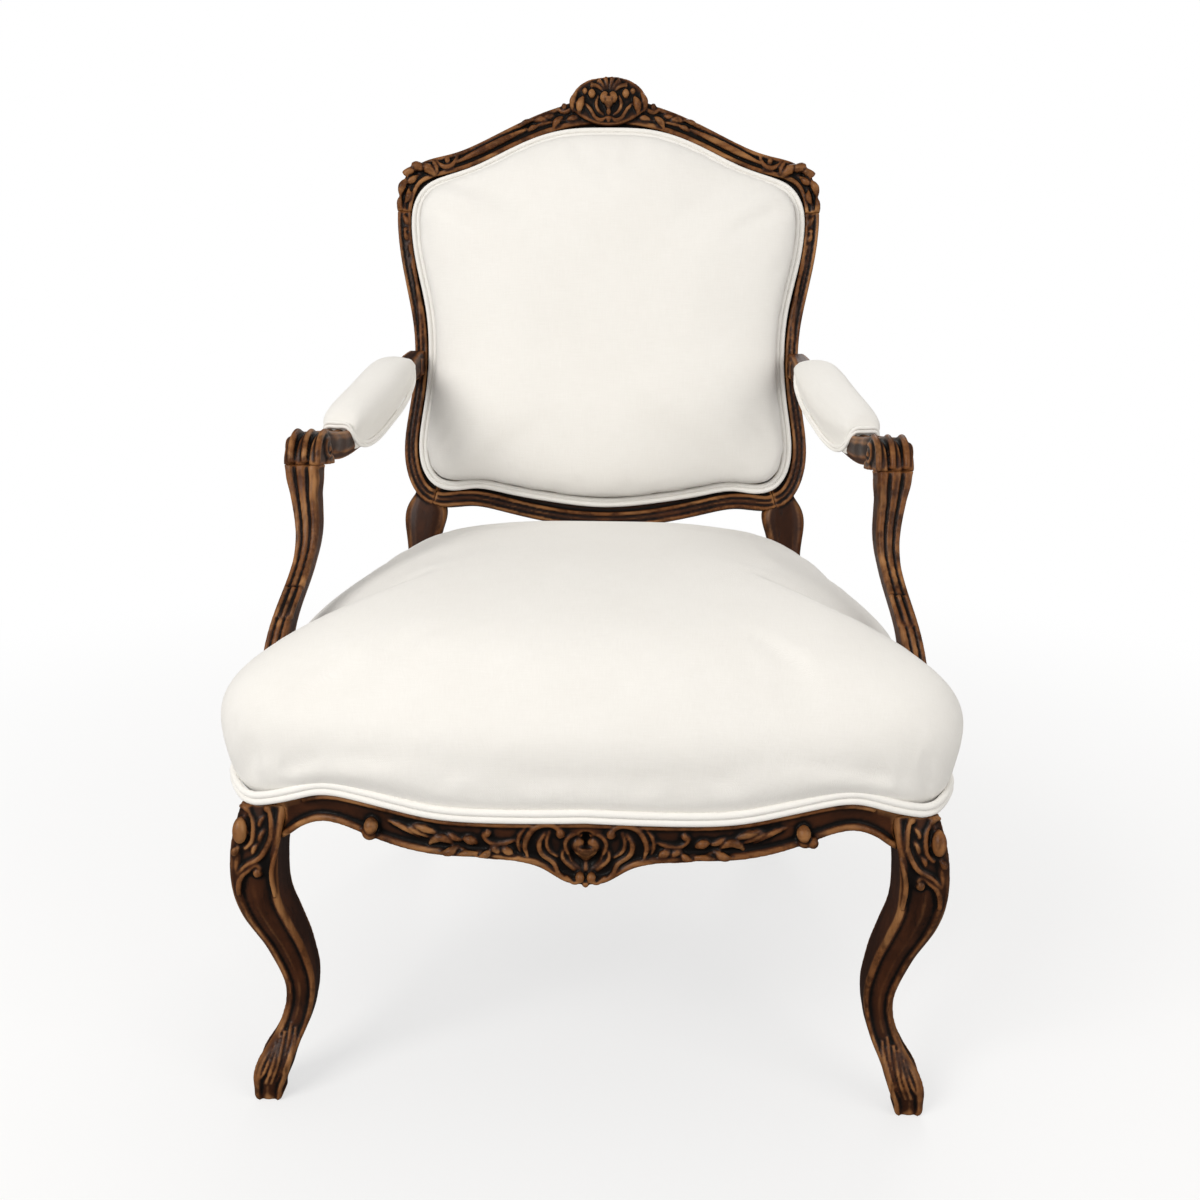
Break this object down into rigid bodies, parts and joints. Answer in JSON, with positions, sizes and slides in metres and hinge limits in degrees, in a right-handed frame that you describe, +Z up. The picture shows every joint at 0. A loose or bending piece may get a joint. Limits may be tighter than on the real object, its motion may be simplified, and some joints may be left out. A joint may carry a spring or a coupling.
{
  "type": "upholstered open armchair",
  "caption": "Upholstered open-arm chair with a carved serpentine wood frame, cabriole front legs, scrolled arms, domed seat, padded back and arm pads in pale linen.",
  "frame": {"origin": "on the floor, below the middle of the chair's bounding box", "axes": "+X to the viewer's right when facing the chair, +Y to the back, +Z up"},
  "size_m": [0.6807, 0.7481, 1.0383],
  "materials": {
    "frame_wood": "antiqued walnut, satin, dark in the recesses and rubbed on the ridges",
    "block_wood": "plain beech, unfinished",
    "linen": "off-white plain-weave linen",
    "welt": "the cover linen over two cords",
    "webbing": "jute webbing",
    "hessian": "plain hessian",
    "stuffing": "hair stuffing under wadding",
    "dust_cloth": "black cambric",
    "tack_steel": "blued steel tacks"
  },
  "bodies": {
    "root": {"crest_rail": "frame_wood", "lower_back_rail": "frame_wood", "front_rail": "frame_wood", "rear_rail": "frame_wood", "side_rail_left": "frame_wood", "side_rail_right": "frame_wood", "rear_post_left": "frame_wood", "rear_post_right": "frame_wood", "front_leg_left": "frame_wood", "front_leg_right": "frame_wood", "arm_left": "frame_wood", "arm_right": "frame_wood", "arm_support_left": "frame_wood", "arm_support_right": "frame_wood", "frame_pegs": "frame_wood", "front_corner_block_left": "block_wood", "front_corner_block_right": "block_wood", "rear_corner_block_left": "block_wood", "rear_corner_block_right": "block_wood", "seat_cover": "linen", "inside_back_cover": "linen", "outside_back_cover": "linen", "arm_cover_left": "linen", "arm_cover_right": "linen", "seat_welt": "welt", "inside_back_welt": "welt", "outside_back_welt": "welt", "arm_welt_left": "welt", "arm_welt_right": "welt", "seat_webbing": "webbing", "back_webbing": "webbing", "seat_hessian": "hessian", "back_hessian": "hessian", "seat_stuffing": "stuffing", "back_stuffing": "stuffing", "arm_stuffing_left": "stuffing", "arm_stuffing_right": "stuffing", "dust_cover": "dust_cloth", "dust_cover_tacks": "tack_steel"}
  },
  "joints": []
}
